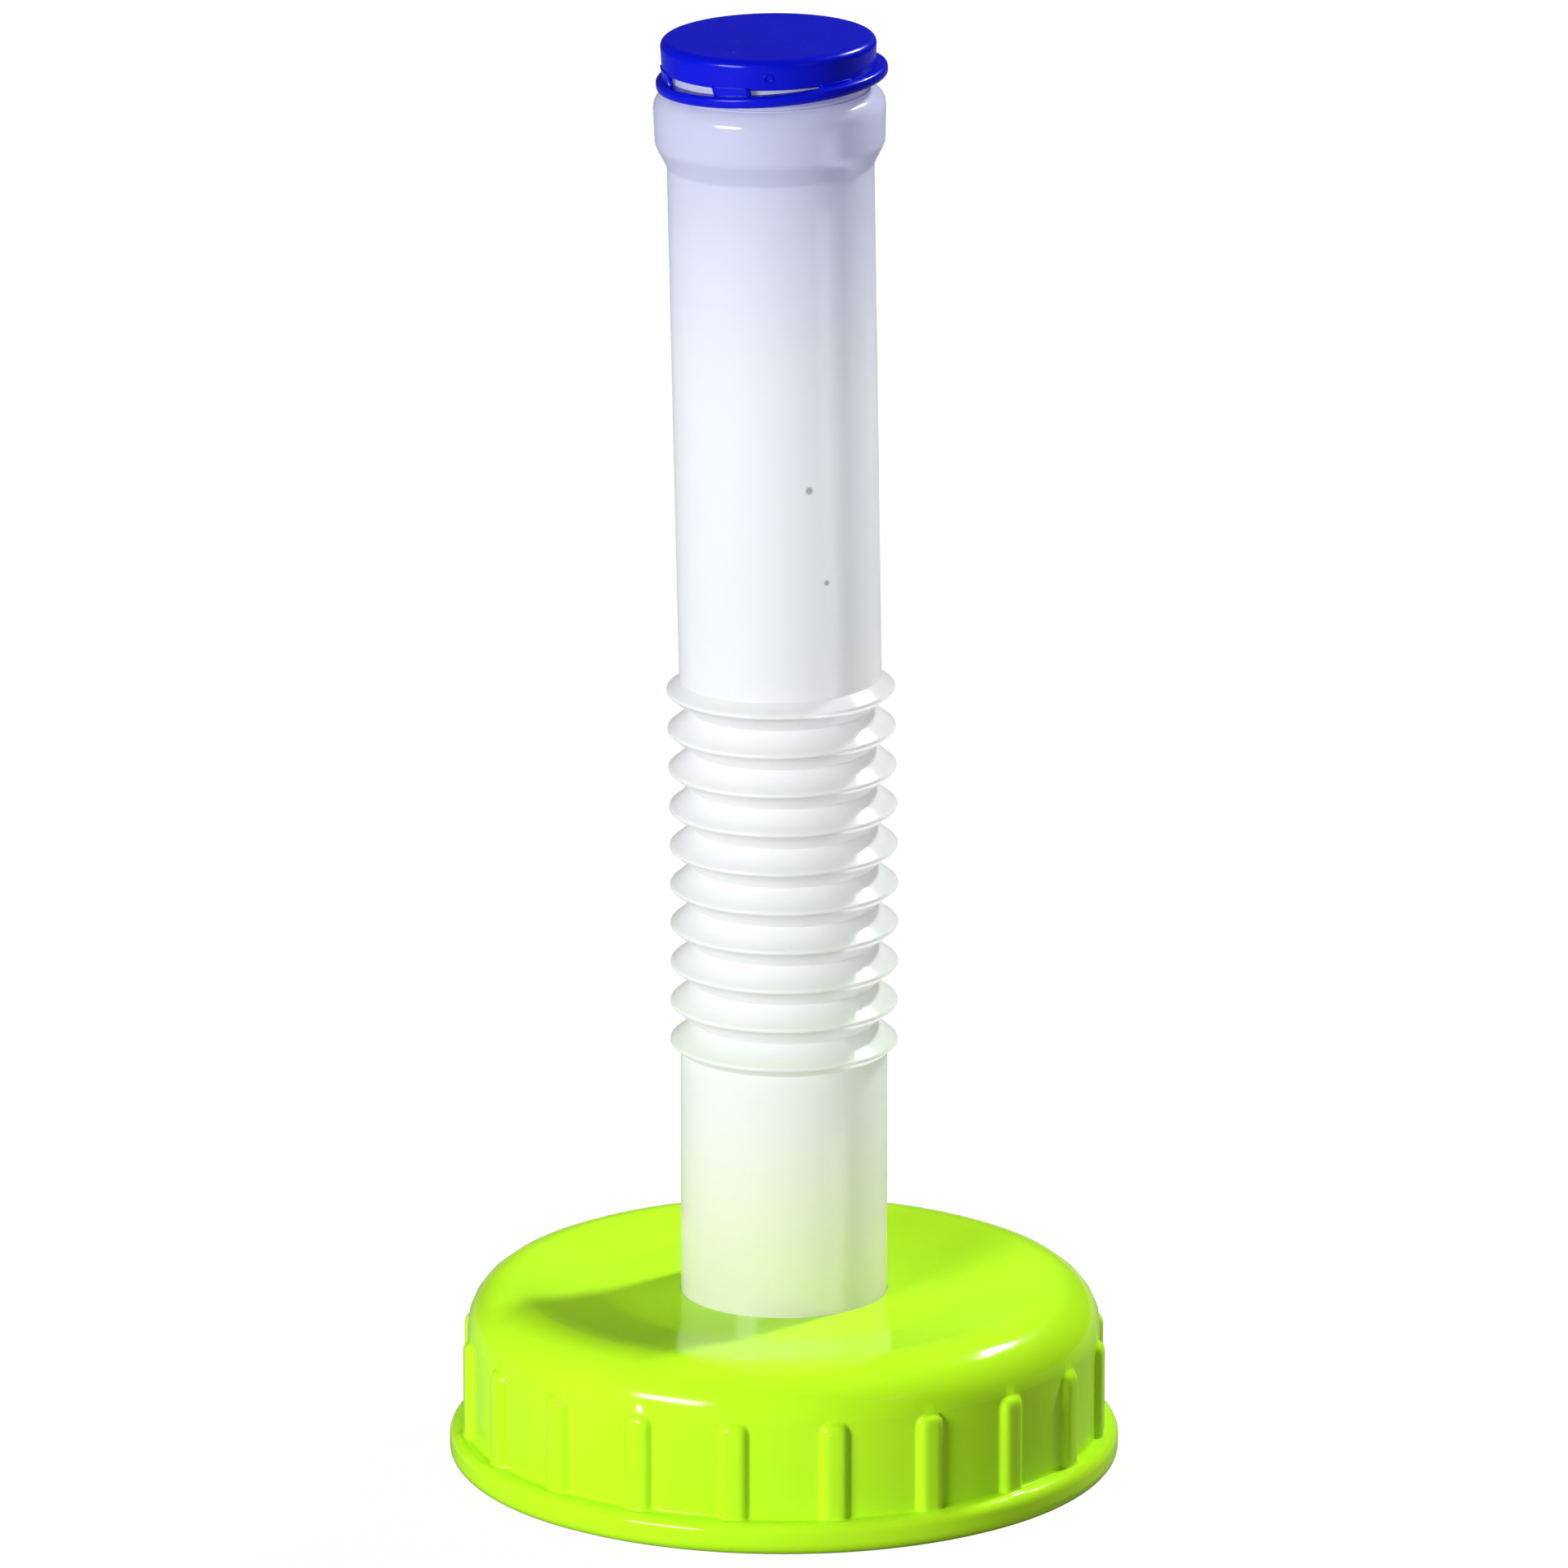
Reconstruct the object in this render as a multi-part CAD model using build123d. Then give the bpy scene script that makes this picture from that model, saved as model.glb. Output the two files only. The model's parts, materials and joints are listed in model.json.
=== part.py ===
from build123d import *
from math import radians, sin, sqrt
import os

# Flexible pouring spout for a canister. All sizes are in millimetres.
# The origin is the centre of the screw cap's open end, +Z runs up the cap's
# axis, and -Y is the side with the moulding mark on the end cap.

# Screw cap
neck_thread_diameter = 61.0      # canister neck that the cap screws on to
thread_play = 0.5                # radial play of the neck in the cap's bore
cap_wall_thickness = 2.85
cap_mouth_chamfer = 0.8
cap_height = 19.4                # up to the crest of the rim
cap_shoulder_radius = 5.3
cap_dish_depth = 0.9             # from the rim's crest down to the tube
cap_rim_width = 1.05             # of the rim's crest, inside the shoulder
cap_dish_slope_width = 8.5       # from the crest down to where the dish is level
cap_dish_rounding = 15.0
cap_top_thickness = 2.2          # beside the tube
cap_flange_projection = 1.95
cap_flange_height = 3.5
cap_flange_rounding = 1.25       # on both edges of the flange
rib_count = 20
rib_width = 3.4
rib_projection = 0.75
rib_top_clearance = 0.05         # below the start of the shoulder

# Gasket and the bead that holds it in the cap
gasket_thickness = 2.2
gasket_width = 7.4
gasket_rim_clearance = 0.1
gasket_bead_depth = 0.7
gasket_bead_height = 1.0

# Spout: base flange and foot
foot_radius = 11.0
foot_wall_thickness = 1.2
foot_length = 25.6               # from the dish up to the bellows
swivel_clearance = 0.08          # radial, between the foot and the cap's hole
base_flange_rim_clearance = 1.4  # radial, round the flange in the cap's bore
base_flange_thickness = 1.6
base_flange_clearance = 0.1      # above and below the flange
hole_chamfer = 0.6

# Spout: bellows
ridge_count = 10
ridge_pitch = 4.306
ridge_projection = 1.1           # of the crests, beyond the foot
ridge_crest_width = 0.3          # of the narrow band round each crest
ridge_depth = 2.5                # from crest to root
bellows_wall_thickness = 0.8
bend_allowance = 1.0             # spare length that the mitres cut away

# Spout: barrel, bead and neck
barrel_inset = 0.27              # of the barrel's lower end, from the foot's radius
barrel_flare = 0.17              # radius gained up to the bead
barrel_wall_thickness = 1.2
barrel_length = 54.9             # from the bellows to the bead
barrel_lean = 1.05               # degrees, the set that the bellows has taken
bead_projection = 1.39
bead_taper = 0.19                # radius lost from the shoulder down the side
bead_chamfer_height = 2.4
bead_side_height = 5.7           # up to the neck
bead_shoulder_rounding = 1.85
bead_shoulder_width = 0.09       # of the level part round the neck
neck_length = 4.2
neck_wall_thickness = 1.2
mouth_chamfer = 0.3

# End cap
cap_fit_clearance = 0.08         # radial, between the neck and the skirt
end_cap_seat_clearance = 0.1     # between the mouth and the disc
end_cap_thickness = 1.25
end_cap_rounding = 0.8           # round the edge of the disc
skirt_wall_thickness = 0.95
skirt_draft = 0.15
plug_depth = 2.4
plug_wall_thickness = 0.9
plug_chamfer = 0.4

# End cap: the slotted ring under the skirt
ring_inner_clearance = 0.45      # radial, round the neck
ring_width = 1.4
ring_height = 1.2
ring_chamfer = 0.35
ring_seat_clearance = 0.15       # over the bead, on the ring's low side
ring_drop = 0.4                  # gap between skirt and ring, in front
ring_tilt = 3.3                  # degrees, high on the +X side
ring_shift = 0.3                 # towards +X
web_count = 6
web_angle = 21.0                 # degrees each web covers
web_offset = -21.0               # degrees from -Y to the first web
web_thickness = 0.55
web_root = 0.3                   # how far each web runs up into the skirt

# Heights and radii that follow from the sizes above
cap_bore_radius = neck_thread_diameter / 2 + thread_play
cap_wall_radius = cap_bore_radius + cap_wall_thickness
cap_flange_radius = cap_wall_radius + cap_flange_projection
dish_outer_radius = cap_wall_radius - cap_shoulder_radius - cap_rim_width
dish_inner_radius = dish_outer_radius - cap_dish_slope_width
dish_height = cap_height - cap_dish_depth
cap_hole_radius = foot_radius + swivel_clearance
ceiling_height = dish_height - cap_top_thickness
rib_top_height = cap_height - cap_shoulder_radius - rib_top_clearance
base_flange_radius = cap_bore_radius - base_flange_rim_clearance
flange_top = ceiling_height - base_flange_clearance
flange_bottom = flange_top - base_flange_thickness
gasket_top = flange_bottom - base_flange_clearance
gasket_bottom = gasket_top - gasket_thickness
gasket_outer_radius = cap_bore_radius - gasket_rim_clearance
gasket_inner_radius = gasket_outer_radius - gasket_width
foot_top = dish_height + foot_length
foot_bore_radius = foot_radius - foot_wall_thickness
ridge_crest_radius = foot_radius + ridge_projection
ridge_root_radius = ridge_crest_radius - ridge_depth
bellows_length = ridge_count * ridge_pitch
bellows_top = foot_top + bellows_length
bend_height = foot_top + bellows_length / 2
barrel_bottom_radius = foot_radius - barrel_inset
barrel_top_radius = barrel_bottom_radius + barrel_flare
bead_radius = barrel_top_radius + bead_projection
bead_lower_radius = bead_radius - bead_taper
neck_radius = bead_radius - bead_shoulder_rounding - bead_shoulder_width
bead_start = bellows_top + barrel_length
bead_side_start = bead_start + bead_chamfer_height
neck_start = bead_side_start + bead_side_height
mouth_height = neck_start + neck_length
end_cap_ceiling = mouth_height + end_cap_seat_clearance
end_cap_top = end_cap_ceiling + end_cap_thickness
skirt_bore_radius = neck_radius + cap_fit_clearance
skirt_radius = skirt_bore_radius + skirt_wall_thickness
plug_radius = neck_radius - neck_wall_thickness - cap_fit_clearance
ring_inner_radius = neck_radius + ring_inner_clearance
ring_outer_radius = ring_inner_radius + ring_width
ring_lift = (ring_inner_radius - ring_shift) * sin(radians(ring_tilt))
ring_bottom = neck_start + ring_seat_clearance + ring_lift
ring_top = ring_bottom + ring_height
skirt_bottom = ring_top + ring_drop


def outline(*corners):
    """Closed outline through (radius, height, rounding) corners."""
    return FilletPolyline(
        *[(radius, height) for radius, height, _ in corners],
        radius=[rounding for _, _, rounding in corners],
        close=True,
    )


def spin(edge, sweep=360):
    """Solid of revolution of a closed outline in radius and height."""
    return revolve(Plane.XZ * make_face(edge), axis=Axis.Z, revolution_arc=sweep)


def lean(angle, height):
    """Turn towards -X about the point of the axis at this height."""
    return Pos(0, 0, height) * Rot(0, -angle, 0) * Pos(0, 0, -height)


def make_screw_cap():
    # Outer form, solid to the axis
    form = spin(outline(
        (0, 0, 0),
        (cap_flange_radius, 0, cap_flange_rounding),
        (cap_flange_radius, cap_flange_height, cap_flange_rounding),
        (cap_wall_radius, cap_flange_height, 0),
        (cap_wall_radius, cap_height, cap_shoulder_radius),
        (dish_outer_radius, cap_height, cap_dish_rounding),
        (dish_inner_radius, dish_height, cap_dish_rounding),
        (0, dish_height, 0),
    ))
    # Grip ribs: upright half-sunk bars with coned ends
    bar_radius = ((rib_width / 2) ** 2 + rib_projection ** 2) / (2 * rib_projection)
    bar_spread = cap_wall_radius + rib_projection - bar_radius
    bar_end = rib_top_height - rib_projection
    bar = spin(outline(
        (0, cap_flange_height / 2, 0),
        (bar_radius, cap_flange_height / 2, 0),
        (bar_radius, bar_end, 0),
        (0, bar_end + bar_radius, 0),
    ))
    first_rib = -90 + 180 / rib_count
    spots = PolarLocations(bar_spread, rib_count, start_angle=first_rib)
    form += [spot * bar for spot in spots]
    # Bore for the neck's thread, bead under the gasket, hole for the tube
    bead_inner_radius = cap_bore_radius - gasket_bead_depth
    hollow = spin(outline(
        (0, 0, 0),
        (cap_bore_radius + cap_mouth_chamfer, 0, 0),
        (cap_bore_radius, cap_mouth_chamfer, 0),
        (cap_bore_radius, gasket_bottom - gasket_bead_height, 0),
        (bead_inner_radius, gasket_bottom - gasket_bead_depth / 2, 0),
        (bead_inner_radius, gasket_bottom, 0),
        (cap_bore_radius, gasket_bottom, 0),
        (cap_bore_radius, ceiling_height, 0),
        (cap_hole_radius + hole_chamfer, ceiling_height, 0),
        (cap_hole_radius, ceiling_height + hole_chamfer, 0),
        (cap_hole_radius, cap_height, 0),
        (0, cap_height, 0),
    ))
    return form - hollow


def make_gasket():
    return spin(outline(
        (gasket_inner_radius, gasket_bottom, 0),
        (gasket_outer_radius, gasket_bottom, 0),
        (gasket_outer_radius, gasket_top, 0),
        (gasket_inner_radius, gasket_top, 0),
    ))


def make_spout_foot():
    return spin(outline(
        (foot_bore_radius, flange_bottom, 0),
        (base_flange_radius, flange_bottom, 0),
        (base_flange_radius, flange_top, 0),
        (foot_radius, flange_top, 0),
        (foot_radius, foot_top, 0),
        (foot_bore_radius, foot_top, 0),
    ))


def ridge_line(start_radius, end_radius, root_radius, crest_radius, crest_width):
    """Corners up one face of the bellows, from the foot to the barrel."""
    slope = ridge_slope()
    first = foot_top + (start_radius - root_radius) / slope
    last = bellows_top - (end_radius - root_radius) / slope
    corners = [(start_radius, foot_top - bend_allowance, 0), (start_radius, first, 0)]
    for ridge in range(ridge_count):
        crest = foot_top + (ridge + 0.5) * ridge_pitch
        corners.append((crest_radius, crest - crest_width / 2, 0))
        if crest_width > 0:
            corners.append((crest_radius, crest + crest_width / 2, 0))
        if ridge < ridge_count - 1:
            corners.append((root_radius, crest + ridge_pitch / 2, 0))
    corners += [(end_radius, last, 0), (end_radius, bellows_top + bend_allowance, 0)]
    return corners


def ridge_slope():
    """Radius gained for each millimetre of height on the side of a ridge."""
    return (ridge_crest_radius - ridge_root_radius) / ((ridge_pitch - ridge_crest_width) / 2)


def make_bellows():
    wall_shift = bellows_wall_thickness * sqrt(1 + ridge_slope() ** 2)
    inner_root_radius = ridge_root_radius - wall_shift
    inner_corner_radius = inner_root_radius + ridge_slope() * ridge_pitch / 2
    outside = ridge_line(foot_radius, barrel_bottom_radius,
                         ridge_root_radius, ridge_crest_radius, ridge_crest_width)
    inside = ridge_line(foot_bore_radius, barrel_bottom_radius - barrel_wall_thickness,
                        inner_root_radius, inner_corner_radius, 0)
    straight = spin(outline(*outside, *reversed(inside)))
    # Half the lean at each end, where the faces are mitred
    tube = lean(barrel_lean / 2, foot_top) * straight
    tube = split(tube, bisect_by=Plane.XY.offset(foot_top), keep=Keep.TOP)
    top_face = lean(barrel_lean, bend_height) * Plane.XY.offset(bellows_top)
    return split(tube, bisect_by=top_face, keep=Keep.BOTTOM)


def make_spout_barrel():
    neck_bore_radius = neck_radius - neck_wall_thickness
    bead_bore_radius = bead_lower_radius - barrel_wall_thickness
    shoulder_ceiling = neck_start - neck_wall_thickness
    tube = spin(outline(
        (barrel_bottom_radius, bellows_top, 0),
        (barrel_top_radius, bead_start, 0),
        (bead_lower_radius, bead_side_start, 0),
        (bead_radius, neck_start, bead_shoulder_rounding),
        (neck_radius, neck_start, 0),
        (neck_radius, mouth_height - mouth_chamfer, 0),
        (neck_radius - mouth_chamfer, mouth_height, 0),
        (neck_bore_radius, mouth_height, 0),
        (neck_bore_radius, shoulder_ceiling, 0),
        (bead_bore_radius, shoulder_ceiling, 0),
        (bead_bore_radius, bead_side_start, 0),
        (barrel_top_radius - barrel_wall_thickness, bead_start, 0),
        (barrel_bottom_radius - barrel_wall_thickness, bellows_top, 0),
    ))
    return lean(barrel_lean, bend_height) * tube


def make_end_cap():
    # Disc, skirt round the neck and plug inside it
    plug_bottom = end_cap_ceiling - plug_depth
    cup = spin(outline(
        (0, end_cap_ceiling, 0),
        (plug_radius - plug_wall_thickness, end_cap_ceiling, 0),
        (plug_radius - plug_wall_thickness, plug_bottom, 0),
        (plug_radius - plug_chamfer, plug_bottom, 0),
        (plug_radius, plug_bottom + plug_chamfer, 0),
        (plug_radius, end_cap_ceiling, 0),
        (skirt_bore_radius, end_cap_ceiling, 0),
        (skirt_bore_radius, skirt_bottom, 0),
        (skirt_radius - skirt_draft, skirt_bottom, 0),
        (skirt_radius, end_cap_top, end_cap_rounding),
        (0, end_cap_top, 0),
    ))
    # Ring that sits a little askew on the bead
    ring = spin(outline(
        (ring_inner_radius, ring_bottom, 0),
        (ring_outer_radius - ring_chamfer, ring_bottom, 0),
        (ring_outer_radius, ring_bottom + ring_chamfer, 0),
        (ring_outer_radius, ring_top - ring_chamfer, 0),
        (ring_outer_radius - ring_chamfer, ring_top, 0),
        (ring_inner_radius, ring_top, 0),
    ))
    ring_middle = ring_top - ring_height / 2
    ring = Pos(ring_shift, 0, 0) * lean(ring_tilt, ring_middle) * ring
    # Webs from the ring up to the skirt, with the slots between them
    web_foot = ring_middle - ring_height
    web_top = skirt_bottom + web_root
    web = spin(outline(
        (skirt_radius - web_thickness, web_foot, 0),
        (skirt_radius, web_foot, 0),
        (skirt_radius, web_top, 0),
        (skirt_radius - web_thickness, web_top, 0),
    ), web_angle)
    first_web = -90 + web_offset - web_angle / 2
    webs = [Rot(0, 0, first_web + index * 360 / web_count) * web
            for index in range(web_count)]
    seat = lean(ring_tilt, ring_middle) * Plane.XY.offset(ring_middle)
    webs = [split(piece, bisect_by=seat, keep=Keep.TOP) for piece in webs]
    return lean(barrel_lean, bend_height) * (cup + ring + webs)


pieces = {
    "screw_cap": make_screw_cap(),
    "gasket": make_gasket(),
    "spout_foot": make_spout_foot(),
    "bellows": make_bellows(),
    "spout_barrel": make_spout_barrel(),
    "end_cap": make_end_cap(),
}
os.makedirs("parts", exist_ok=True)
for name, piece in pieces.items():
    export_step(piece, f"parts/{name}.step")
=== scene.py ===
import bmesh
import bpy
import json
import math
from mathutils import Matrix, Vector


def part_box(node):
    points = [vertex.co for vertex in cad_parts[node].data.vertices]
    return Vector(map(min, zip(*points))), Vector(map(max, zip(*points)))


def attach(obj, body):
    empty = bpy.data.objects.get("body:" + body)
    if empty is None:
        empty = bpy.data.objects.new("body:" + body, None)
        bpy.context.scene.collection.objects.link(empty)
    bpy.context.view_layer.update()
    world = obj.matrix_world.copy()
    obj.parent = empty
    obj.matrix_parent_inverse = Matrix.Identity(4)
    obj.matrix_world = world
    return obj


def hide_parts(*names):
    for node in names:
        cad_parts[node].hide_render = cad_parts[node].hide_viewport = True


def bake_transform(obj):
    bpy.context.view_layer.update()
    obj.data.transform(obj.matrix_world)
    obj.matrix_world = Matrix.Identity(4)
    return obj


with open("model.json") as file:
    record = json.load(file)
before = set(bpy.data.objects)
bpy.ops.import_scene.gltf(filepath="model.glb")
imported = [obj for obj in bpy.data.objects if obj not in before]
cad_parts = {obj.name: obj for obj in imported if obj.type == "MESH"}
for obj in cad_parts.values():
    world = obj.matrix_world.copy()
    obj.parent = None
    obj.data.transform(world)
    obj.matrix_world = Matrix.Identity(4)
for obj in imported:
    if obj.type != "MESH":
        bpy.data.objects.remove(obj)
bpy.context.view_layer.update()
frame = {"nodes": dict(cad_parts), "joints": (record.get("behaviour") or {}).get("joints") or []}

# Pouring spout for a canister: lime screw cap, milky tube with a bellows, blue end cap.
# Lengths below are millimetres and angles are degrees; the scene itself is in metres.
mm = 0.001

# What the frame fixes
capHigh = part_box("screw_cap")[1] / mm
plateLow, footHigh = (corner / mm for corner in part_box("spout_foot"))
gasketLow, gasketHigh = (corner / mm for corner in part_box("gasket"))
joints = {joint["name"]: joint for joint in frame["joints"]}
bendHeight = joints["bellows_bend"]["pos_m"][2] / mm
pullAxis = Vector(joints["end_cap_pull"]["axis"])
leanAngle = math.degrees(math.atan2(-pullAxis.x, pullAxis.z))
bellowsTop = 2 * bendHeight - footHigh.z

scene = bpy.context.scene
scene.view_settings.view_transform = "Standard"
print("frame loaded")


# Camera

camera = {
    "distance": 1750,
    "elevation": 15.9,
    "aimHeight": 74.35,
    "focalPixels": 20344,      # of a picture this many pixels wide:
    "picturePixels": 1932,
    "sensorWidth": 36,
}


def makeCamera(settings):
    data = bpy.data.cameras.new("camera")
    data.sensor_width = settings["sensorWidth"]
    data.lens = settings["sensorWidth"] * settings["focalPixels"] / settings["picturePixels"]
    data.clip_end = 20
    eye = bpy.data.objects.new("camera", data)
    scene.collection.objects.link(eye)
    tilt = math.radians(settings["elevation"])
    back = Vector((0, -math.cos(tilt), math.sin(tilt)))
    eye.location = (Vector((0, 0, settings["aimHeight"])) + back * settings["distance"]) * mm
    eye.rotation_euler = (math.pi / 2 - tilt, 0, 0)
    scene.camera = eye


makeCamera(camera)


# Outlines and meshes

def outlinePoints(corners, arcStep=15, guard=0.07):
    # Closed outline through (radius, height, rounding) corners. A guard point beside
    # each arc keeps the smooth shading of the flats next to it straight.
    points = []
    for index, (radius, height, rounding) in enumerate(corners):
        corner = Vector((radius, height))
        before = Vector(corners[index - 1][:2]) - corner
        after = Vector(corners[(index + 1) % len(corners)][:2]) - corner
        turn = math.pi - before.angle(after)
        if rounding == 0 or turn < 0.001:
            points.append(corner)
            continue
        room = min(before.length, after.length)
        before.normalize()
        after.normalize()
        reach = rounding * math.tan(turn / 2)
        centre = corner + (before + after).normalized() * rounding / math.cos(turn / 2)
        spoke = corner + before * reach - centre
        side = 1 if before.cross(after) < 0 else -1
        steps = max(2, math.ceil(math.degrees(turn) / arcStep))
        if reach + guard < room / 2:
            points.append(corner + before * (reach + guard))
        for step in range(steps + 1):
            swing = Matrix.Rotation(side * turn * step / steps, 2)
            points.append(centre + swing @ spoke)
        if reach + guard < room / 2:
            points.append(corner + after * (reach + guard))
    return points


def sectorMesh(name, points, angles, shape=None):
    # Sweeps the outline round the axis from the first to the last angle.
    # shape moves a point: it takes (radius, height, angle) and returns the new radius.
    vertices = []
    for angle in angles:
        for radius, height in points:
            reach = shape(radius, height, angle) if shape else radius
            turned = math.radians(angle)
            vertices.append((reach * math.cos(turned) * mm, reach * math.sin(turned) * mm, height * mm))
    count = len(points)
    faces = []
    for column in range(len(angles) - 1):
        for row in range(count):
            following = (row + 1) % count
            if points[row][0] == 0 and points[following][0] == 0:
                continue
            faces.append((column * count + row, (column + 1) * count + row,
                          (column + 1) * count + following, column * count + following))
    mesh = bpy.data.meshes.new(name)
    mesh.from_pydata(vertices, [], faces)
    return mesh


def addNode(tree, kind, **settings):
    node = tree.nodes.new(kind)
    for key, value in settings.items():
        setattr(node, key, value)
    return node


def newTree(name, inputs):
    tree = bpy.data.node_groups.new(name, "GeometryNodeTree")
    tree.interface.new_socket(name="Geometry", in_out="INPUT", socket_type="NodeSocketGeometry")
    tree.interface.new_socket(name="Geometry", in_out="OUTPUT", socket_type="NodeSocketGeometry")
    for label, kind in inputs:
        tree.interface.new_socket(name=label, in_out="INPUT", socket_type=kind)
    return tree, addNode(tree, "NodeGroupInput"), addNode(tree, "NodeGroupOutput")


def mathNode(tree, operation, first, second):
    node = addNode(tree, "ShaderNodeMath", operation=operation)
    for socket, value in zip(node.inputs, (first, second)):
        if isinstance(value, (int, float)):
            socket.default_value = value
        else:
            tree.links.new(value, socket)
    return node.outputs[0]


# Repeats a sector round the axis, closes its seams, and lets the upper part lean
def makeRepeatTree():
    tree, given, result = newTree("repeatRoundAxis", [
        ("Count", "NodeSocketInt"),
        ("Lean Angle", "NodeSocketFloat"),
        ("Pivot Height", "NodeSocketFloat"),
        ("Lean Start", "NodeSocketFloat"),
        ("Lean End", "NodeSocketFloat"),
        ("Material", "NodeSocketMaterial"),
    ])
    link = tree.links.new
    spots = addNode(tree, "GeometryNodePoints")
    link(given.outputs["Count"], spots.inputs["Count"])
    index = addNode(tree, "GeometryNodeInputIndex")
    step = mathNode(tree, "DIVIDE", 2 * math.pi, given.outputs["Count"])
    turn = addNode(tree, "ShaderNodeCombineXYZ")
    link(mathNode(tree, "MULTIPLY", index.outputs[0], step), turn.inputs["Z"])
    copies = addNode(tree, "GeometryNodeInstanceOnPoints")
    link(spots.outputs[0], copies.inputs["Points"])
    link(given.outputs["Geometry"], copies.inputs["Instance"])
    link(turn.outputs[0], copies.inputs["Rotation"])
    solid = addNode(tree, "GeometryNodeRealizeInstances")
    link(copies.outputs[0], solid.inputs[0])
    closed = addNode(tree, "GeometryNodeMergeByDistance")
    closed.inputs["Distance"].default_value = 0.002 * mm
    link(solid.outputs[0], closed.inputs["Geometry"])
    place = addNode(tree, "GeometryNodeInputPosition")
    height = addNode(tree, "ShaderNodeSeparateXYZ")
    link(place.outputs[0], height.inputs[0])
    share = addNode(tree, "ShaderNodeMapRange", interpolation_type="SMOOTHSTEP")
    link(height.outputs["Z"], share.inputs["Value"])
    link(given.outputs["Lean Start"], share.inputs["From Min"])
    link(given.outputs["Lean End"], share.inputs["From Max"])
    pivot = addNode(tree, "ShaderNodeCombineXYZ")
    link(given.outputs["Pivot Height"], pivot.inputs["Z"])
    leaned = addNode(tree, "ShaderNodeVectorRotate", rotation_type="Y_AXIS")
    link(place.outputs[0], leaned.inputs["Vector"])
    link(pivot.outputs[0], leaned.inputs["Center"])
    back = mathNode(tree, "MULTIPLY", given.outputs["Lean Angle"], -1)
    link(mathNode(tree, "MULTIPLY", back, share.outputs["Result"]), leaned.inputs["Angle"])
    moved = addNode(tree, "GeometryNodeSetPosition")
    link(closed.outputs[0], moved.inputs["Geometry"])
    link(leaned.outputs[0], moved.inputs["Position"])
    painted = addNode(tree, "GeometryNodeSetMaterial")
    link(moved.outputs[0], painted.inputs["Geometry"])
    link(given.outputs["Material"], painted.inputs["Material"])
    link(painted.outputs[0], result.inputs["Geometry"])
    return tree


# Thread ridge: a tapered bar along a rising spiral
def makeThreadTree():
    tree, given, result = newTree("threadRidge", [
        ("Radius", "NodeSocketFloat"),
        ("Rise", "NodeSocketFloat"),
        ("Turns", "NodeSocketFloat"),
        ("Start Height", "NodeSocketFloat"),
        ("Ridge Depth", "NodeSocketFloat"),
        ("Ridge Width", "NodeSocketFloat"),
        ("Crest Width", "NodeSocketFloat"),
        ("Material", "NodeSocketMaterial"),
    ])
    link = tree.links.new
    spiral = addNode(tree, "GeometryNodeCurveSpiral")
    spiral.inputs["Resolution"].default_value = 120
    link(given.outputs["Turns"], spiral.inputs["Rotations"])
    link(given.outputs["Radius"], spiral.inputs["Start Radius"])
    link(given.outputs["Radius"], spiral.inputs["End Radius"])
    link(given.outputs["Rise"], spiral.inputs["Height"])
    along = addNode(tree, "GeometryNodeSplineParameter")
    runIn = addNode(tree, "ShaderNodeMapRange")
    runIn.inputs["From Max"].default_value = 0.06
    link(along.outputs["Factor"], runIn.inputs["Value"])
    runOut = addNode(tree, "ShaderNodeMapRange")
    runOut.inputs["From Min"].default_value = 1
    runOut.inputs["From Max"].default_value = 0.94
    link(along.outputs["Factor"], runOut.inputs["Value"])
    size = mathNode(tree, "MULTIPLY", runIn.outputs["Result"], runOut.outputs["Result"])
    tapered = addNode(tree, "GeometryNodeSetCurveRadius")
    link(spiral.outputs[0], tapered.inputs["Curve"])
    link(mathNode(tree, "MAXIMUM", size, 0.05), tapered.inputs["Radius"])
    section = addNode(tree, "GeometryNodeCurvePrimitiveQuadrilateral", mode="TRAPEZOID")
    link(given.outputs["Ridge Depth"], section.inputs["Height"])
    link(given.outputs["Ridge Width"], section.inputs["Bottom Width"])
    link(given.outputs["Crest Width"], section.inputs["Top Width"])
    section.inputs["Offset"].default_value = 0
    quarter = addNode(tree, "GeometryNodeTransform")
    quarter.inputs["Rotation"].default_value = (0, 0, math.pi / 2)
    link(section.outputs[0], quarter.inputs["Geometry"])
    bar = addNode(tree, "GeometryNodeCurveToMesh")
    bar.inputs["Fill Caps"].default_value = True
    link(tapered.outputs[0], bar.inputs["Curve"])
    link(quarter.outputs[0], bar.inputs["Profile Curve"])
    lift = addNode(tree, "ShaderNodeCombineXYZ")
    link(given.outputs["Start Height"], lift.inputs["Z"])
    raised = addNode(tree, "GeometryNodeTransform")
    link(bar.outputs[0], raised.inputs["Geometry"])
    link(lift.outputs[0], raised.inputs["Translation"])
    solid = addNode(tree, "GeometryNodeRealizeInstances")
    link(raised.outputs[0], solid.inputs[0])
    painted = addNode(tree, "GeometryNodeSetMaterial")
    link(solid.outputs[0], painted.inputs["Geometry"])
    link(given.outputs["Material"], painted.inputs["Material"])
    link(painted.outputs[0], result.inputs["Geometry"])
    return tree


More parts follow.
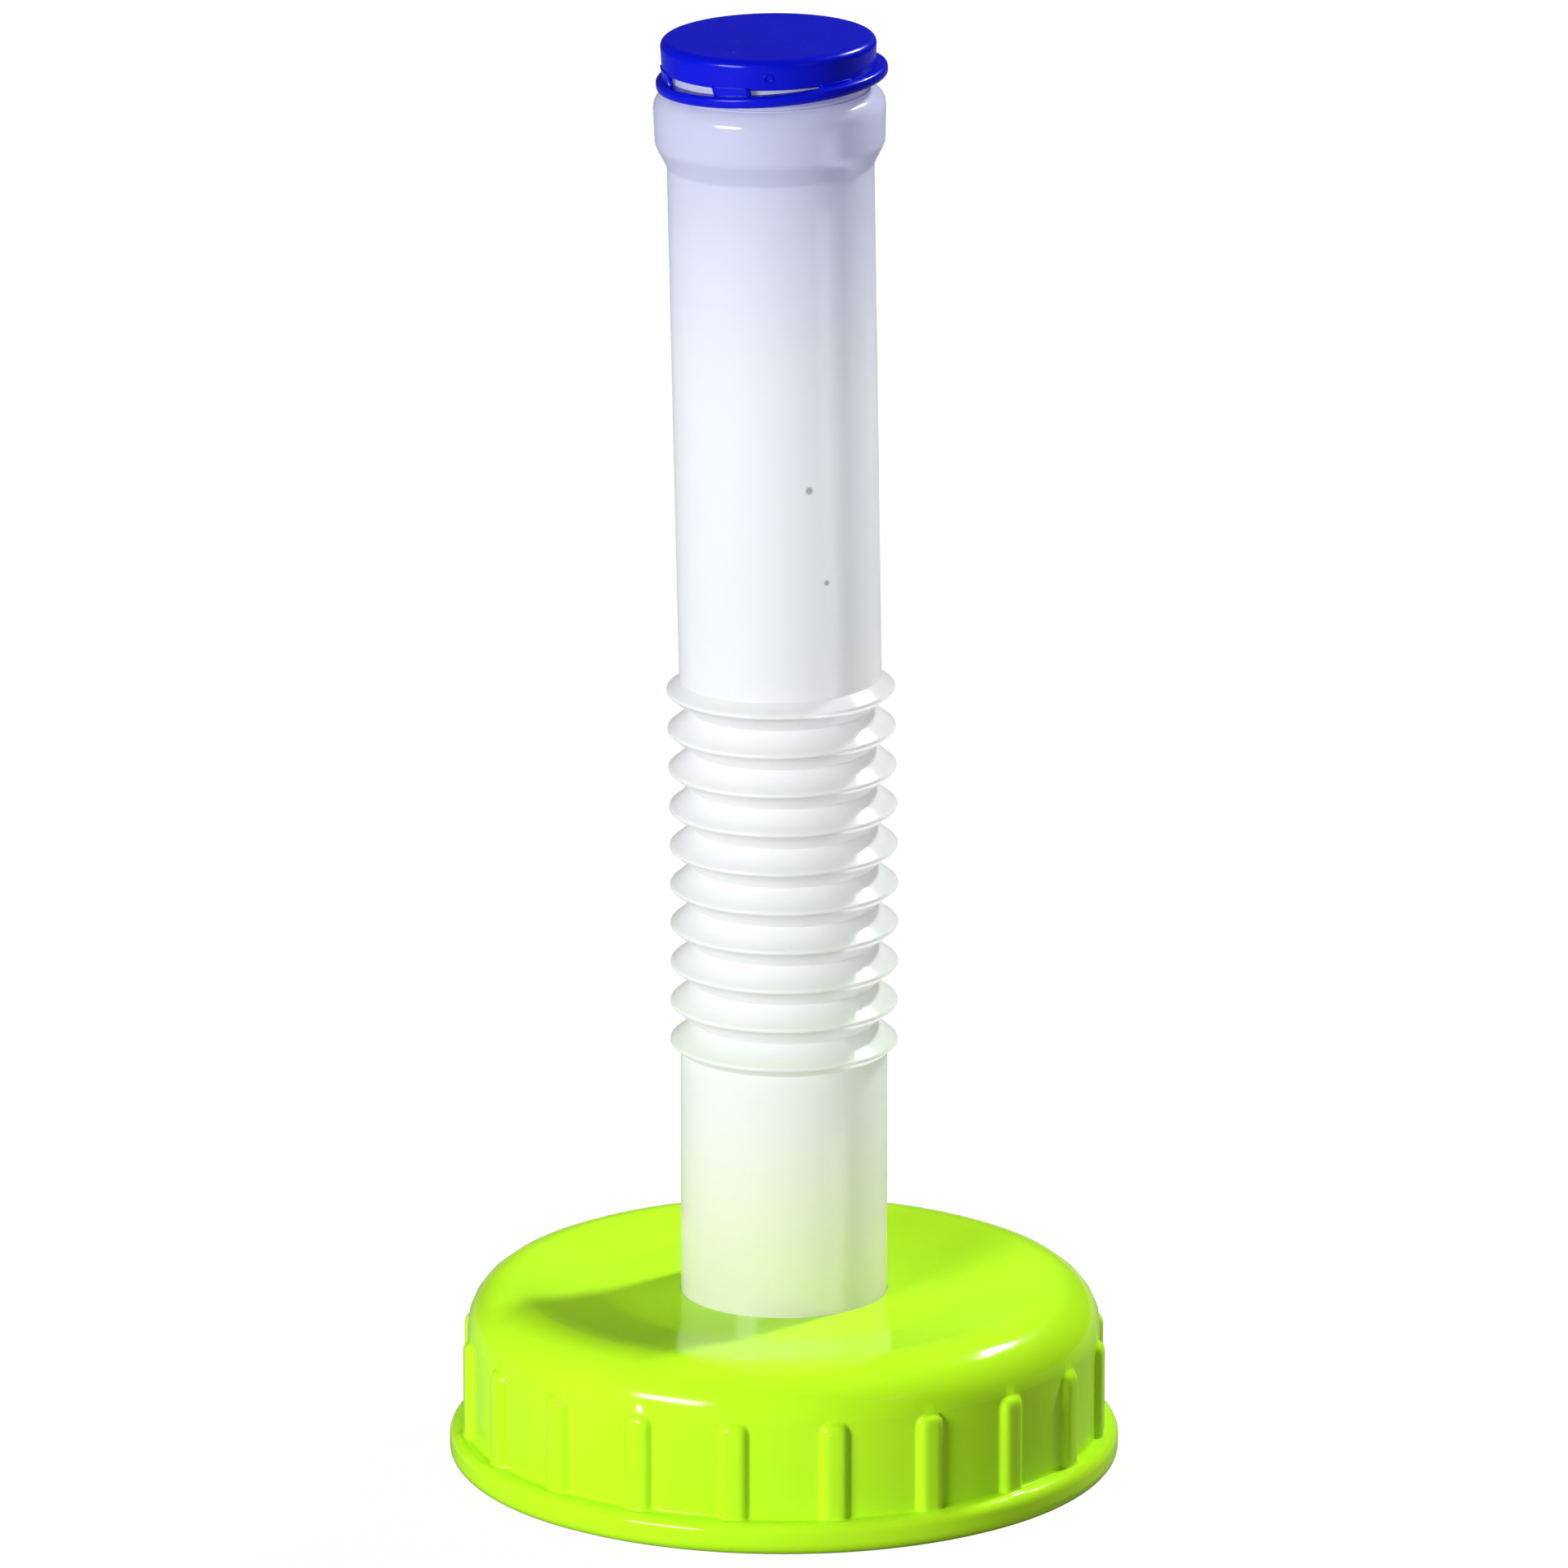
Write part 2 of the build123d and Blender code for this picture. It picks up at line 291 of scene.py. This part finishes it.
def grow(name, mesh, tree, inputs):
    # Runs a node tree on a mesh and keeps the result as a plain smooth mesh
    holder = bpy.data.objects.new(name, mesh)
    scene.collection.objects.link(holder)
    modifier = holder.modifiers.new("grow", "NODES")
    modifier.node_group = tree
    for item in tree.interface.items_tree:
        if item.in_out == "INPUT" and item.name in inputs:
            modifier[item.identifier] = inputs[item.name]
    graph = bpy.context.evaluated_depsgraph_get()
    made = bpy.data.meshes.new_from_object(holder.evaluated_get(graph), depsgraph=graph)
    bpy.data.objects.remove(holder)
    made.name = name
    made.materials.clear()
    made.materials.append(inputs["Material"])
    shell = bmesh.new()
    shell.from_mesh(made)
    bmesh.ops.recalc_face_normals(shell, faces=shell.faces)
    for face in shell.faces:
        face.smooth = True
        face.material_index = 0
    shell.to_mesh(made)
    shell.free()
    return made


def revolve(name, points, columns, material, lean=0, leanStart=0, leanEnd=1):
    sector = sectorMesh(name, points, (0, 360 / columns))
    return grow(name, sector, repeatTree, {
        "Count": columns,
        "Lean Angle": math.radians(lean),
        "Pivot Height": bendHeight * mm,
        "Lean Start": leanStart * mm,
        "Lean End": leanEnd * mm,
        "Material": material,
    })


def keepPlace(mesh, name):
    # Remembers where each point is at rest, so that a pattern bends with the surface
    rest = mesh.attributes.new(name, "FLOAT_VECTOR", "POINT")
    for spot, vertex in zip(rest.data, mesh.vertices):
        spot.vector = vertex.co


def makePiece(name, meshes):
    # One object from several closed shells of the same moulding
    joined = bmesh.new()
    for mesh in meshes:
        joined.from_mesh(mesh)
    whole = bpy.data.meshes.new(name)
    joined.to_mesh(whole)
    joined.free()
    whole.materials.append(meshes[0].materials[0])
    piece = bpy.data.objects.new(name, whole)
    scene.collection.objects.link(piece)
    return piece


repeatTree = makeRepeatTree()
threadTree = makeThreadTree()


# Materials

limeLook = {
    "colour": (0.52, 0.95, 0.018),
    "deepColour": (0.49, 0.92, 0.015),
    "roughness": (0.10, 0.15),
    "specular": 0.18,
}
milkyLook = {
    "place": "restPlace",          # attribute with the unbent position of each point
    "colour": (0.985, 0.985, 1.0),
    "deepColour": (0.97, 0.97, 0.99),
    # Painted light by height: the barrel is a little cooler and darker than the bellows and grows bluer
    # and darker towards the mouth, painted shade with a painted blue cast, and the foot has a painted
    # yellow-green bounce of light from the lime cap: each colour with the heights where it starts and is
    # full
    "paintedLightByHeight": [((0.95, 0.965, 0.995), 84, 96), ((0.72, 0.73, 0.94), 114, 162),
              ((0.985, 1.0, 0.80), 42, 20)],
    "roughness": (0.15, 0.18),
    "specular": 0.4,
    "passing": 0.53,
    "specks": [((2.64, -10.22, 109.2), 0.38), ((4.51, -9.51, 99.0), 0.28)],  # centre and radius
    "speckColour": (0.45, 0.45, 0.47),
}
blueLook = {
    "colour": (0.002, 0.006, 0.56),
    "deepColour": (0.002, 0.005, 0.52),
    "roughness": (0.20, 0.28),
    "specular": 0.15,
}
rubberLook = {
    "colour": (0.035, 0.035, 0.038),
    "deepColour": (0.022, 0.022, 0.024),
    "roughness": (0.55, 0.75),
    "specular": 0.4,
}


def noiseField(tree, place, size, detail=3):
    # Soft noise whose features are about this many millimetres across
    noise = addNode(tree, "ShaderNodeTexNoise")
    noise.inputs["Scale"].default_value = 1 / (size * mm)
    noise.inputs["Detail"].default_value = detail
    tree.links.new(place, noise.inputs["Vector"])
    return noise.outputs["Fac"]


def rampBetween(tree, factor, low, high, start=0.35, end=0.65):
    ramp = addNode(tree, "ShaderNodeValToRGB")
    ramp.color_ramp.elements[0].position = start
    ramp.color_ramp.elements[1].position = end
    ramp.color_ramp.elements[0].color = (*low, 1)
    ramp.color_ramp.elements[1].color = (*high, 1)
    tree.links.new(factor, ramp.inputs["Fac"])
    return ramp.outputs["Color"]


def rangeBetween(tree, factor, low, high):
    spread = addNode(tree, "ShaderNodeMapRange")
    spread.inputs["From Min"].default_value = 0.3
    spread.inputs["From Max"].default_value = 0.7
    spread.inputs["To Min"].default_value = low
    spread.inputs["To Max"].default_value = high
    tree.links.new(factor, spread.inputs["Value"])
    return spread.outputs["Result"]


def smoothStep(tree, value, start, end):
    step = addNode(tree, "ShaderNodeMapRange", interpolation_type="SMOOTHSTEP")
    step.inputs["From Min"].default_value = start
    step.inputs["From Max"].default_value = end
    tree.links.new(value, step.inputs["Value"])
    return step.outputs["Result"]


def mixColour(tree, share, first, second):
    # From the first colour, a socket, to the second, a fixed colour
    blend = addNode(tree, "ShaderNodeMix", data_type="RGBA")
    factor, start, end = (blend.inputs[number] for number in (0, 6, 7))
    tree.links.new(share, factor)
    tree.links.new(first, start)
    end.default_value = (*second, 1)
    return blend.outputs[2]


def mouldedPlastic(name, look, mottle, grain, grainDepth, wave, waveDepth):
    # Mottled colour, uneven gloss, a fine skin grain and a slow moulding ripple
    material = bpy.data.materials.new(name)
    material.use_nodes = True
    tree = material.node_tree
    shader = tree.nodes["Principled BSDF"]
    if "place" in look:
        place = addNode(tree, "ShaderNodeAttribute", attribute_name=look["place"]).outputs["Vector"]
    else:
        place = addNode(tree, "ShaderNodeTexCoord").outputs["Object"]
    colour = rampBetween(tree, noiseField(tree, place, mottle), look["deepColour"], look["colour"])
    height = addNode(tree, "ShaderNodeSeparateXYZ")
    tree.links.new(place, height.inputs[0])
    # Painted shade and painted light by height: darker and bluer towards the mouth, painted yellow-green
    # bounce light at the foot
    for paintedTint, start, end in look.get("paintedLightByHeight", []):
        reach = smoothStep(tree, height.outputs["Z"], start * mm, end * mm)
        colour = mixColour(tree, reach, colour, paintedTint)
    for centre, radius in look.get("specks", []):
        gap = addNode(tree, "ShaderNodeVectorMath", operation="DISTANCE")
        gap.inputs[1].default_value = Vector(centre) * mm
        tree.links.new(place, gap.inputs[0])
        spot = smoothStep(tree, gap.outputs["Value"], radius * 1.5 * mm, radius * 0.5 * mm)
        colour = mixColour(tree, spot, colour, look["speckColour"])
    tree.links.new(colour, shader.inputs["Base Color"])
    gloss = rangeBetween(tree, noiseField(tree, place, mottle / 3), *look["roughness"])
    tree.links.new(gloss, shader.inputs["Roughness"])
    skin = addNode(tree, "ShaderNodeBump")
    skin.inputs["Strength"].default_value = 1
    skin.inputs["Distance"].default_value = grainDepth * mm
    tree.links.new(noiseField(tree, place, grain), skin.inputs["Height"])
    ripple = addNode(tree, "ShaderNodeBump")
    ripple.inputs["Strength"].default_value = 1
    ripple.inputs["Distance"].default_value = waveDepth * mm
    tree.links.new(noiseField(tree, place, wave, detail=1), ripple.inputs["Height"])
    tree.links.new(ripple.outputs["Normal"], skin.inputs["Normal"])
    tree.links.new(skin.outputs["Normal"], shader.inputs["Normal"])
    shader.inputs["Specular IOR Level"].default_value = look["specular"]
    if "passing" in look:
        letThrough(tree, shader, colour, look["passing"])
    return material


def letThrough(tree, shader, colour, share):
    # Part of the light goes through the wall, so that the tube glows from inside
    through = addNode(tree, "ShaderNodeBsdfTranslucent")
    tree.links.new(colour, through.inputs["Color"])
    mix = addNode(tree, "ShaderNodeMixShader")
    mix.inputs["Fac"].default_value = share
    tree.links.new(shader.outputs[0], mix.inputs[1])
    tree.links.new(through.outputs[0], mix.inputs[2])
    # The wall's two faces count as one sheet
    clear = addNode(tree, "ShaderNodeBsdfTransparent")
    inside = addNode(tree, "ShaderNodeNewGeometry").outputs["Backfacing"]
    sheet = addNode(tree, "ShaderNodeMixShader")
    tree.links.new(inside, sheet.inputs["Fac"])
    tree.links.new(mix.outputs[0], sheet.inputs[1])
    tree.links.new(clear.outputs[0], sheet.inputs[2])
    tree.links.new(sheet.outputs[0], tree.nodes["Material Output"].inputs["Surface"])


limePlastic = mouldedPlastic("limePlastic", limeLook, mottle=14, grain=0.5, grainDepth=0.004,
                             wave=9, waveDepth=0.03)
milkyPlastic = mouldedPlastic("milkyPlastic", milkyLook, mottle=16, grain=0.6, grainDepth=0.002,
                              wave=18, waveDepth=0.03)
bluePlastic = mouldedPlastic("bluePlastic", blueLook, mottle=6, grain=0.45, grainDepth=0.002,
                             wave=5, waveDepth=0.03)
gasketRubber = mouldedPlastic("gasketRubber", rubberLook, mottle=5, grain=0.3, grainDepth=0.01,
                              wave=6, waveDepth=0.02)
print("materials made")


# Screw cap

capLook = {
    "flangeRounding": 1.25,
    "flangeHeight": 3.5,
    "flangeProjection": 1.95,
    "wallFoot": 0.35,          # fillet between the flange and the wall
    "shoulder": 5.3,
    "rimWidth": 1.05,
    "dishSlopeWidth": 8.5,
    "dishDepth": 0.9,
    "dishRounding": 15,
    "topThickness": 2.2,
    "holeClearance": 0.03,
    "boreClearance": 0.1,
    "boreRounding": 0.3,
    "ribCount": 20,
    "ribWidth": 3.2,
    "ribProjection": 0.75,
    "ribTop": 14.05,
    "threadTurns": 1.7,
    "threadPitch": 4.5,
    "threadStart": 1.9,
    "threadDepth": 1.5,
    "threadWidth": 2.4,
    "threadCrest": 0.9,
}
tubeRadius = 11.0


def ribHeight(look, sideways, height):
    # How far a rib stands out of the wall: flat in the middle, steep at its sides and end
    half = look["ribWidth"] / 2
    above = max(0, height - (look["ribTop"] - half))
    share = (sideways ** 3 + above ** 3) ** (1 / 3) / half
    return look["ribProjection"] * max(0, 1 - share ** 4)


def makeScrewCap(look):
    flangeRadius, capTop = capHigh.x, capHigh.z
    wallRadius = flangeRadius - look["flangeProjection"]
    boreRadius = gasketHigh.x + look["boreClearance"]
    dishOuter = wallRadius - look["shoulder"] - look["rimWidth"]
    dishInner = dishOuter - look["dishSlopeWidth"]
    dishHeight = capTop - look["dishDepth"]
    ceiling = dishHeight - look["topThickness"]
    flangeTop = look["flangeHeight"]
    rounded = look["boreRounding"]
    holeRadius = tubeRadius + look["holeClearance"]
    corners = [
        (boreRadius + 0.8, 0, 0.25),
        (flangeRadius, 0, look["flangeRounding"]),
        (flangeRadius, flangeTop, look["flangeRounding"]),
        (wallRadius, flangeTop, look["wallFoot"]),
        (wallRadius, capTop, look["shoulder"]),
        (dishOuter, capTop, look["dishRounding"]),
        (dishInner, dishHeight, look["dishRounding"]),
        (holeRadius, dishHeight, 0.15),
        (holeRadius, ceiling, rounded),
        (boreRadius, ceiling, rounded),
        (boreRadius, gasketLow.z, 0.08),
        (boreRadius - 0.7, gasketLow.z, 0.2),
        (boreRadius - 0.7, gasketLow.z - 0.4, 0.2),
        (boreRadius, gasketLow.z - 1.0, 0.2),
        (boreRadius, 0.8, 0.25),
    ]
    points = outlinePoints(corners)
    # Extra rows where the ribs' round ends are
    wallRows = [6, 9, 11.6]
    half = look["ribWidth"] / 2
    wallRows += [look["ribTop"] - half + half * step / 9 - 0.05 for step in range(10)]
    ends = [i for i, (r, z) in enumerate(points) if abs(r - wallRadius) < 0.001 and z < 5]
    foot = max(ends)
    points[foot + 1:foot + 1] = [Vector((wallRadius, z)) for z in wallRows]

    def ribbed(radius, height, angle):
        if radius < wallRadius - 0.01 or height < flangeTop - 0.3 or height > look["ribTop"] + 0.1:
            return radius
        sideways = math.radians(abs(angle)) * wallRadius
        proud = ribHeight(look, sideways, height)
        fade = max(0, 1 - (radius - wallRadius) / (look["flangeProjection"] - 0.5))
        return radius + proud * fade

    period = 360 / look["ribCount"]
    ribDegrees = math.degrees((half + 0.3) / wallRadius)
    fine = 20
    angles = [-period / 2, -period / 3]
    angles += [-ribDegrees + 2 * ribDegrees * step / fine for step in range(fine + 1)]
    angles += [period / 3, period / 2]
    first = -90 + period / 2
    sector = sectorMesh("screwCap", points, angles, ribbed)
    sector.transform(Matrix.Rotation(math.radians(first), 4, "Z"))
    shell = grow("screwCap", sector, repeatTree, {
        "Count": look["ribCount"], "Lean End": 1.0, "Material": limePlastic,
    })
    ridge = grow("threadRidge", bpy.data.meshes.new("threadRidge"), threadTree, {
        "Radius": boreRadius * mm,
        "Rise": look["threadTurns"] * look["threadPitch"] * mm,
        "Turns": look["threadTurns"],
        "Start Height": look["threadStart"] * mm,
        "Ridge Depth": look["threadDepth"] * mm,
        "Ridge Width": look["threadWidth"] * mm,
        "Crest Width": look["threadCrest"] * mm,
        "Material": limePlastic,
    })
    piece = makePiece("screwCap", [shell, ridge])
    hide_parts("screw_cap")
    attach(piece, "screw_cap")
    return piece


makeScrewCap(capLook)
print("screw cap made")


# Spout

spoutLook = {
    "columns": 160,
    "footWall": 0.35,          # thin walls let the light through evenly
    "plateThickness": 1.6,
    "plateLip": 1.2,           # the wall's true thickness, where its lower edge can be seen
    "plateRounding": 0.3,
    "ridgeCount": 10,
    "ridgeCrest": 12.1,
    "ridgeRoot": 9.6,
    "crestRounding": 0.3,
    "rootRounding": 0.1,
    "bellowsWall": 0.35,
    "barrelBottom": 10.73,
    "barrelTop": 10.9,
    "barrelWall": 0.35,
    "barrelLength": 54.9,
    "beadRadius": 12.29,
    "beadLower": 12.1,
    "beadChamferHeight": 2.4,
    "beadChamferRounding": 1.6,
    "beadSideHeight": 5.7,
    "beadRounding": 1.85,
    "neckRadius": 10.35,
    "neckLength": 4.2,
    "neckWall": 1.2,
}


def ridgeCorners(look, start, end, root, crest, crestRounding, rootRounding):
    # Zigzag from the foot up to the barrel, for the outside or the inside
    pitch = (bellowsTop - footHigh.z) / look["ridgeCount"]
    corner = crest
    for _ in range(8):       # the rounded crest reaches the stated radius
        half = math.atan2(pitch / 2, corner - root)
        corner = crest + crestRounding * (1 / math.sin(half) - 1)
    slope = (corner - root) / (pitch / 2)
    corners = [(start, footHigh.z + (start - root) / slope, 0.15)]
    for ridge in range(look["ridgeCount"]):
        middle = footHigh.z + (ridge + 0.5) * pitch
        corners.append((corner, middle, crestRounding))
        if ridge < look["ridgeCount"] - 1:
            corners.append((root, middle + pitch / 2, rootRounding))
    corners.append((end, bellowsTop - (end - root) / slope, 0.15))
    return corners


def makeSpout(look):
    wall = look["bellowsWall"]
    pitch = (bellowsTop - footHigh.z) / look["ridgeCount"]
    steepness = math.hypot(pitch / 2, look["ridgeCrest"] - look["ridgeRoot"]) / (pitch / 2)
    outside = ridgeCorners(look, tubeRadius, look["barrelBottom"], look["ridgeRoot"],
                           look["ridgeCrest"], look["crestRounding"], look["rootRounding"])
    inside = ridgeCorners(look, tubeRadius - look["footWall"], look["barrelBottom"] - look["barrelWall"],
                          look["ridgeRoot"] - wall * steepness, look["ridgeCrest"] - wall * steepness,
                          0.1, 0.1)
    plateRadius = footHigh.x
    plateBottom = plateLow.z
    plateTop = plateBottom + look["plateThickness"]
    plateBore = tubeRadius - look["plateLip"]
    beadStart = bellowsTop + look["barrelLength"]
    sideStart = beadStart + look["beadChamferHeight"]
    neckStart = sideStart + look["beadSideHeight"]
    mouth = neckStart + look["neckLength"]
    neckBore = look["neckRadius"] - look["neckWall"]
    beadBore = look["beadLower"] - look["barrelWall"]
    corners = [
        (plateBore, plateBottom, look["plateRounding"]),
        (plateRadius, plateBottom, look["plateRounding"]),
        (plateRadius, plateTop, look["plateRounding"]),
        (tubeRadius, plateTop, 0.4),
        *outside,
        (look["barrelTop"], beadStart, 0.7),
        (look["beadLower"], sideStart, look["beadChamferRounding"]),
        (look["beadRadius"], neckStart, look["beadRounding"]),
        (look["neckRadius"], neckStart, 0.25),
        (look["neckRadius"], mouth, 0.3),
        (neckBore, mouth, 0.3),
        (neckBore, neckStart - look["neckWall"], 0.3),
        (beadBore, neckStart - look["neckWall"], 0.6),
        (beadBore, sideStart, 0.6),
        (look["barrelTop"] - look["barrelWall"], beadStart, 0.6),
        *reversed(inside),
        (tubeRadius - look["footWall"], plateTop, 0.1),
        (plateBore, plateTop, look["plateRounding"]),
    ]
    points = outlinePoints(corners, arcStep=20)
    mesh = revolve("spout", points, look["columns"], milkyPlastic,
                   lean=leanAngle, leanStart=footHigh.z, leanEnd=bellowsTop)
    piece = makePiece("spout", [mesh])
    keepPlace(piece.data, milkyLook["place"])
    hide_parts("spout_foot", "bellows", "spout_barrel")
    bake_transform(piece)
    return piece


makeSpout(spoutLook)
print("spout made")


# End cap

endCapLook = {
    "columns": 144,
    "seatGap": 0.1,
    "discThickness": 1.25,
    "discRounding": 0.8,
    "neckGap": 0.08,
    "skirtWall": 0.95,
    "skirtDraft": 0.15,
    "plugDepth": 2.4,
    "plugWall": 0.9,
    "ringGap": 0.45,
    "ringWidth": 1.4,
    "ringHeight": 1.2,
    "ringRounding": 0.4,
    "ringSeat": 0.15,          # over the bead on the ring's low side
    "ringDrop": 0.4,
    "ringTilt": 3.3,
    "ringShift": 0.3,
    "webCount": 6,
    "webAngle": 21,
    "webOffset": -21,
    "webThickness": 0.55,
    "markRadius": 0.42,
    "markWidth": 0.1,
}


def makeEndCap(look, spout):
    neckStart = (bellowsTop + spout["barrelLength"] + spout["beadChamferHeight"]
                 + spout["beadSideHeight"])
    ceiling = neckStart + spout["neckLength"] + look["seatGap"]
    top = ceiling + look["discThickness"]
    skirtBore = spout["neckRadius"] + look["neckGap"]
    skirtRadius = skirtBore + look["skirtWall"]
    ringInner = spout["neckRadius"] + look["ringGap"]
    ringOuter = ringInner + look["ringWidth"]
    ringLift = (ringInner - look["ringShift"]) * math.sin(math.radians(look["ringTilt"]))
    ringBottom = neckStart + look["ringSeat"] + ringLift
    ringTop = ringBottom + look["ringHeight"]
    ringMiddle = (ringBottom + ringTop) / 2
    skirtBottom = ringTop + look["ringDrop"]
    plugRadius = spout["neckRadius"] - spout["neckWall"] - look["neckGap"]
    plugBottom = ceiling - look["plugDepth"]
    cup = revolve("cup", outlinePoints([
        (0, ceiling, 0),
        (plugRadius - look["plugWall"], ceiling, 0.15),
        (plugRadius - look["plugWall"], plugBottom, 0.15),
        (plugRadius, plugBottom, 0.4),
        (plugRadius, ceiling, 0.1),
        (skirtBore, ceiling, 0.1),
        (skirtBore, skirtBottom, 0.12),
        (skirtRadius - look["skirtDraft"], skirtBottom, 0.2),
        (skirtRadius, top, look["discRounding"]),
        (0, top, 0),
    ]), look["columns"], bluePlastic)

    ring = revolve("ring", outlinePoints([
        (ringInner, ringBottom, 0.2),
        (ringOuter, ringBottom, look["ringRounding"]),
        (ringOuter, ringTop, look["ringRounding"]),
        (ringInner, ringTop, 0.2),
    ]), look["columns"], bluePlastic)
    tilt = (Matrix.Translation((look["ringShift"] * mm, 0, ringMiddle * mm))
            @ Matrix.Rotation(-math.radians(look["ringTilt"]), 4, "Y")
            @ Matrix.Translation((0, 0, -ringMiddle * mm)))
    ring.transform(tilt)

    # Webs stand on the tilted ring and run up into the skirt
    webCorners = outlinePoints([
        (skirtRadius - look["webThickness"], ringMiddle, 0.08),
        (skirtRadius, ringMiddle, 0.08),
        (skirtRadius, skirtBottom + 0.3, 0.08),
        (skirtRadius - look["webThickness"], skirtBottom + 0.3, 0.08),
    ])
    first = -90 + look["webOffset"] - look["webAngle"] / 2
    steps = [first + look["webAngle"] * step / 10 for step in range(11)]
    sector = sectorMesh("webs", webCorners, steps)
    closeEnds(sector, len(webCorners))
    webs = grow("webs", sector, repeatTree, {
        "Count": look["webCount"], "Lean End": 1.0, "Material": bluePlastic,
    })
    for vertex in webs.vertices:
        if vertex.co.z < ringTop * mm:
            vertex.co = tilt @ vertex.co

    # Small round moulding mark on the front of the skirt
    mark = roundMark(skirtRadius, (top + skirtBottom) / 2 - 0.25, look["markRadius"], look["markWidth"])
    piece = makePiece("endCap", [cup, ring, webs, mark])
    lean = (Matrix.Translation((0, 0, bendHeight * mm))
            @ Matrix.Rotation(-math.radians(leanAngle), 4, "Y")
            @ Matrix.Translation((0, 0, -bendHeight * mm)))
    piece.data.transform(lean)
    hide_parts("end_cap")
    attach(piece, "end_cap")
    return piece


def closeEnds(mesh, count):
    # Flat faces over the two ends of a swept bar
    bar = bmesh.new()
    bar.from_mesh(mesh)
    bar.verts.ensure_lookup_table()
    bar.faces.new(bar.verts[:count])
    bar.faces.new(bar.verts[-count:])
    bar.to_mesh(mesh)
    bar.free()


def roundMark(skirtRadius, height, radius, width):
    # A low ring that lies half sunk in the front of the skirt
    around, section = 28, 8
    vertices, faces = [], []
    for i in range(around):
        turn = 2 * math.pi * i / around
        for j in range(section):
            lift = 2 * math.pi * j / section
            reach = radius + width * math.cos(lift)
            vertices.append((reach * math.cos(turn) * mm,
                             -(skirtRadius - 0.06 + width * math.sin(lift)) * mm,
                             (height + reach * math.sin(turn)) * mm))
            k, m = (i + 1) % around, (j + 1) % section
            faces.append((i * section + j, k * section + j, k * section + m, i * section + m))
    mesh = bpy.data.meshes.new("mark")
    mesh.from_pydata(vertices, [], faces)
    return grow("mark", mesh, repeatTree, {"Count": 1, "Lean End": 1.0, "Material": bluePlastic})


makeEndCap(endCapLook, spoutLook)
print("end cap made")

gasket = frame["nodes"]["gasket"]
gasket.data.materials.clear()
gasket.data.materials.append(gasketRubber)


# Floor and light

lightSet = {
    # name: direction round the axis from the front, elevation, distance, width, height, power, colour
    "softLeft": (-42, 16.5, 900, 370, 130, 9.7, (0.95, 0.98, 1)),
    "backRight": (131, 43, 650, 70, 60, 4.2, (0.96, 0.99, 1)),
    "sideStrip": (119, 46, 650, 60, 30, 0.5, (1, 1, 1)),
    "frontRight": (40, 22, 900, 300, 300, 0.6, (1, 1, 1)),
    "glint": (40, 22, 900, 40, 20, 0.06, (1, 1, 1)),
    "behind": (178, 10, 700, 300, 200, 0.8, (1, 1, 1)),
}
plainFills = ("frontRight", "behind")      # these show no reflection of their own
worldLight = 0.05
worldColour = (1, 0.96, 0.86)
floorSize = 6000
floorGap = 0.02                # keeps the floor clear of the cap's bottom face
floorColour = (0.30, 0.27, 0.23)
floorGlow = 1.085
shadowShare = 0.1              # how much of the floor's own shading the camera sees


def makeLight(name, azimuth, elevation, distance, width, height, power, colour):
    data = bpy.data.lights.new(name, "AREA")
    data.shape = "RECTANGLE"
    data.size, data.size_y = width * mm, height * mm
    data.energy = power
    data.color = colour
    lamp = bpy.data.objects.new(name, data)
    scene.collection.objects.link(lamp)
    around, up = math.radians(azimuth), math.radians(elevation)
    out = Vector((math.sin(around) * math.cos(up), -math.cos(around) * math.cos(up), math.sin(up)))
    lamp.location = (out * distance + Vector((0, 0, 60))) * mm
    lamp.rotation_mode = "QUATERNION"
    lamp.rotation_quaternion = out.to_track_quat("Z", "Y")
    return lamp


lamps = {name: makeLight(name, *values) for name, values in lightSet.items()}
for name in plainFills:
    lamps[name].visible_glossy = False


def makeFloor(size, share):
    mesh = bpy.data.meshes.new("floor")
    half, low = size / 2 * mm, -floorGap * mm
    mesh.from_pydata([(-half, -half, low), (half, -half, low), (half, half, low), (-half, half, low)],
                     [], [(0, 1, 2, 3)])
    floor = bpy.data.objects.new("floor", mesh)
    scene.collection.objects.link(floor)
    material = bpy.data.materials.new("floorPaper")
    material.use_nodes = True
    tree = material.node_tree
    tree.nodes.clear()
    paper = addNode(tree, "ShaderNodeBsdfDiffuse")
    paper.inputs["Color"].default_value = (*floorColour, 1)
    glow = addNode(tree, "ShaderNodeEmission")
    glow.inputs["Strength"].default_value = floorGlow
    seen = addNode(tree, "ShaderNodeLightPath").outputs["Is Camera Ray"]
    mix = addNode(tree, "ShaderNodeMixShader")
    tree.links.new(mathNode(tree, "MULTIPLY", seen, 1 - share), mix.inputs["Fac"])
    tree.links.new(paper.outputs[0], mix.inputs[1])
    tree.links.new(glow.outputs[0], mix.inputs[2])
    result = addNode(tree, "ShaderNodeOutputMaterial")
    tree.links.new(mix.outputs[0], result.inputs["Surface"])
    mesh.materials.append(material)


def makeWorld(strength, colour):
    world = bpy.data.worlds.new("studio")
    scene.world = world
    world.use_nodes = True
    tree = world.node_tree
    background = tree.nodes["Background"]
    background.inputs["Color"].default_value = (*colour, 1)
    background.inputs["Strength"].default_value = strength
    white = addNode(tree, "ShaderNodeBackground")
    white.inputs["Color"].default_value = (1, 1, 1, 1)
    seen = addNode(tree, "ShaderNodeLightPath").outputs["Is Camera Ray"]
    mix = addNode(tree, "ShaderNodeMixShader")
    tree.links.new(seen, mix.inputs["Fac"])
    tree.links.new(background.outputs[0], mix.inputs[1])
    tree.links.new(white.outputs[0], mix.inputs[2])
    tree.links.new(mix.outputs[0], tree.nodes["World Output"].inputs["Surface"])


makeFloor(floorSize, shadowShare)
makeWorld(worldLight, worldColour)
print("floor and light made")
